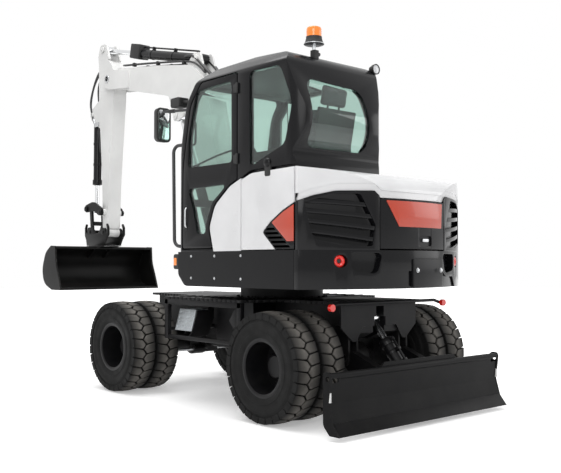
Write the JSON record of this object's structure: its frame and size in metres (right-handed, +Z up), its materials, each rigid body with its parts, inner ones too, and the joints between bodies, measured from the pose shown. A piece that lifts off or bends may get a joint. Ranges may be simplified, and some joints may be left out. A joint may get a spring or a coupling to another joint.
{
  "type": "wheeled excavator",
  "caption": "Compact wheeled excavator with swing boom, bucket on a quick coupler, rear dozer blade, twin tyres, slewing upper and a side cab with doors and full glazing.",
  "frame": {"origin": "on the ground under the middle of the overall length and width", "axes": "+X forward along the boom, +Y to the left (the cab side), +Z up"},
  "size_m": [4.9725, 1.92, 3.68],
  "materials": {
    "chassis_black": "satin black paint with light dust",
    "body_black": "semi-gloss black paint",
    "body_white": "gloss white paint",
    "boom_white": "gloss white paint over welded plate",
    "attachment_black": "satin black paint, worn at the edges",
    "rim_black": "satin black paint",
    "cylinder_black": "satin black paint",
    "tyre": "black rubber with block tread",
    "chrome": "hard chrome rod",
    "steel": "bare machined steel",
    "galvanised": "galvanised plate",
    "engine_grey": "plain grey engine mass",
    "glass": "lightly tinted safety glass",
    "seat_fabric": "dark seat cloth",
    "plastic_black": "moulded black plastic",
    "lamp_orange": "orange lens on a black base",
    "lamp_red": "red lens"
  },
  "bodies": {
    "root": {"belly_boxes": "chassis_black", "chassis_frame": "chassis_black", "deck": "chassis_black", "drive_line": "chassis_black", "front_axle": "chassis_black", "lamp_bar": "chassis_black", "rear_axle": "chassis_black", "rear_lamps": "lamp_red", "side_frames": "chassis_black", "slew_seat": "chassis_black", "step_treads": "galvanised"},
    "upper": {"upper_frame": "chassis_black", "counterweight": "body_black", "skirts": "body_black", "hood": "body_white", "right_cover": "body_white", "side_panel": "body_white", "louvre_left": "body_black", "grille_right": "body_black", "engine_block": "engine_grey", "cab_frame": "body_black", "cab_glass": "glass", "seat": "seat_fabric", "console": "plastic_black", "beacon": "lamp_orange", "work_lamps": "plastic_black", "mirror": "plastic_black", "handrail": "plastic_black"},
    "swing_post": {"swing_post": "attachment_black"},
    "boom": {"boom": "boom_white"},
    "arm": {"arm": "boom_white"},
    "rocker": {"rocker": "attachment_black"},
    "link": {"link": "attachment_black"},
    "bucket": {"coupler": "attachment_black", "bucket": "attachment_black"},
    "boom_barrel": {"boom_barrel": "cylinder_black"},
    "boom_rod": {"boom_rod": "chrome"},
    "arm_barrel": {"arm_barrel": "cylinder_black"},
    "arm_rod": {"arm_rod": "chrome"},
    "bucket_barrel": {"bucket_barrel": "cylinder_black"},
    "bucket_rod": {"bucket_rod": "chrome"},
    "blade": {"blade": "chassis_black"},
    "blade_barrel": {"blade_barrel": "cylinder_black"},
    "blade_rod": {"blade_rod": "chrome"},
    "cab_door": {"cab_door": "body_black", "cab_door_glass": "glass"},
    "side_door": {"side_door": "body_white", "side_door_vent": "body_black"},
    "rear_door": {"rear_door": "body_black"},
    "knuckle_left": {"knuckle_left": "chassis_black"},
    "knuckle_right": {"knuckle_right": "chassis_black"},
    "steering_rod": {"steering_rod": "steel"},
    "wheel_front_left": {"tyres_front_left": "tyre", "rims_front_left": "rim_black"},
    "wheel_front_right": {"tyres_front_right": "tyre", "rims_front_right": "rim_black"},
    "wheel_rear_left": {"tyres_rear_left": "tyre", "rims_rear_left": "rim_black"},
    "wheel_rear_right": {"tyres_rear_right": "tyre", "rims_rear_right": "rim_black"}
  },
  "joints": [
    {"name": "slew", "type": "hinge", "parent": "root", "child": "upper", "pos_m": [-0.8563, 0, 0.958], "axis": [0, 0, 1], "continuous": true},
    {"name": "boom_swing", "type": "hinge", "parent": "upper", "child": "swing_post", "pos_m": [-0.3263, 0, 1.1], "axis": [0, 0, 1], "range_deg": [-60, 75]},
    {"name": "boom_lift", "type": "hinge", "parent": "swing_post", "child": "boom", "pos_m": [-0.1663, 0, 1.34], "axis": [0, 1, 0], "range_deg": [-22, 72]},
    {"name": "arm_fold", "type": "hinge", "parent": "boom", "child": "arm", "pos_m": [1.9637, 0, 3.25], "axis": [0, -1, 0], "range_deg": [-30, 75]},
    {"name": "bucket_curl", "type": "hinge", "parent": "arm", "child": "bucket", "pos_m": [2.0637, 0, 1.52], "axis": [0, 1, 0], "range_deg": [-45, 105]},
    {"name": "blade_lift", "type": "hinge", "parent": "root", "child": "blade", "pos_m": [-1.9363, 0, 0.46], "axis": [0, 1, 0], "range_deg": [-10, 35]},
    {"name": "cab_door_hinge", "type": "hinge", "parent": "upper", "child": "cab_door", "pos_m": [-1.3843, 0.94, 2], "axis": [0, 0, 1], "range_deg": [0, 95]},
    {"name": "side_door_hinge", "type": "hinge", "parent": "upper", "child": "side_door", "pos_m": [-2.0203, 0.94, 1.5], "axis": [0, 0, 1], "range_deg": [0, 75]},
    {"name": "rear_door_hinge", "type": "hinge", "parent": "upper", "child": "rear_door", "pos_m": [-2.3263, 0.402, 1.43], "axis": [0, 0, 1], "range_deg": [-80, 0]},
    {"name": "steer_left", "type": "hinge", "parent": "root", "child": "knuckle_left", "pos_m": [0.4137, 0.47, 0.41], "axis": [0, 0, 1], "range_deg": [-25, 25]},
    {"name": "steer_right", "type": "hinge", "parent": "root", "child": "knuckle_right", "pos_m": [0.4137, -0.47, 0.41], "axis": [0, 0, 1], "range_deg": [-25, 25]},
    {"name": "steering_rod_slide", "type": "slide", "parent": "root", "child": "steering_rod", "axis": [0, 1, 0], "range_m": [-0.062, 0.062]},
    {"name": "wheel_front_left", "type": "hinge", "parent": "knuckle_left", "child": "wheel_front_left", "pos_m": [0.4137, 0.719, 0.41], "axis": [0, 1, 0], "continuous": true},
    {"name": "wheel_front_right", "type": "hinge", "parent": "knuckle_right", "child": "wheel_front_right", "pos_m": [0.4137, -0.719, 0.41], "axis": [0, 1, 0], "continuous": true},
    {"name": "wheel_rear_left", "type": "hinge", "parent": "root", "child": "wheel_rear_left", "pos_m": [-1.6863, 0.719, 0.41], "axis": [0, 1, 0], "continuous": true},
    {"name": "wheel_rear_right", "type": "hinge", "parent": "root", "child": "wheel_rear_right", "pos_m": [-1.6863, -0.719, 0.41], "axis": [0, 1, 0], "continuous": true},
    {"name": "boom_barrel_turn", "type": "hinge", "parent": "swing_post", "child": "boom_barrel", "pos_m": [-0.0363, 0, 1.06], "axis": [0, 1, 0], "range_deg": [-21.38, 68.83]},
    {"name": "boom_rod_slide", "type": "slide", "parent": "boom_barrel", "child": "boom_rod", "axis": [0.4008, 0, 0.9162], "range_m": [-0.3447, 0.1067]},
    {"name": "arm_barrel_turn", "type": "hinge", "parent": "boom", "child": "arm_barrel", "pos_m": [0.3137, 0, 3.19], "axis": [0, 1, 0], "range_deg": [-5, 2.3]},
    {"name": "arm_rod_slide", "type": "slide", "parent": "arm_barrel", "child": "arm_rod", "axis": [0.9732, 0, 0.2299], "range_m": [-0.4693, 0.1889]},
    {"name": "bucket_barrel_turn", "type": "hinge", "parent": "arm", "child": "bucket_barrel", "pos_m": [2.3837, 0, 2.9], "axis": [0, 1, 0], "range_deg": [-3.14, 6.66]},
    {"name": "bucket_rod_slide", "type": "slide", "parent": "bucket_barrel", "child": "bucket_rod", "axis": [0.0091, 0, -1], "range_m": [-0.1845, 0.4279]},
    {"name": "blade_barrel_turn", "type": "hinge", "parent": "blade", "child": "blade_barrel", "pos_m": [-2.3083, 0, 0.255], "axis": [0, 1, 0], "range_deg": [-13.28, 4.15]},
    {"name": "blade_rod_slide", "type": "slide", "parent": "blade_barrel", "child": "blade_rod", "axis": [0.6304, 0, 0.7763], "range_m": [-0.119, 0.0354]},
    {"name": "rocker_turn", "type": "hinge", "parent": "arm", "child": "rocker", "pos_m": [2.0737, 0, 1.745], "axis": [0, 1, 0], "range_deg": [-39.83, 92.27]},
    {"name": "link_turn", "type": "hinge", "parent": "bucket", "child": "link", "pos_m": [2.3637, 0, 1.535], "axis": [0, 1, 0], "range_deg": [-83.87, 36.23]}
  ],
  "couplings": [
    {"joint": "steer_right", "follows": "steer_left", "ratio": 1},
    {"joint": "steering_rod_slide", "follows": "steer_left", "m_per_rad": -0.1337},
    {"joint": "boom_barrel_turn", "follows": "boom_lift", "ratio": 0.949},
    {"joint": "boom_rod_slide", "follows": "boom_lift", "m_per_rad": -0.2727},
    {"joint": "arm_barrel_turn", "follows": "arm_fold", "ratio": -0.06},
    {"joint": "arm_rod_slide", "follows": "arm_fold", "m_per_rad": -0.357},
    {"joint": "bucket_barrel_turn", "follows": "bucket_curl", "ratio": 0.0587},
    {"joint": "bucket_rod_slide", "follows": "bucket_curl", "m_per_rad": 0.2324},
    {"joint": "rocker_turn", "follows": "bucket_curl", "ratio": 0.874},
    {"joint": "link_turn", "follows": "bucket_curl", "ratio": -0.794},
    {"joint": "blade_barrel_turn", "follows": "blade_lift", "ratio": -0.3652},
    {"joint": "blade_rod_slide", "follows": "blade_lift", "m_per_rad": -0.1916}
  ]
}
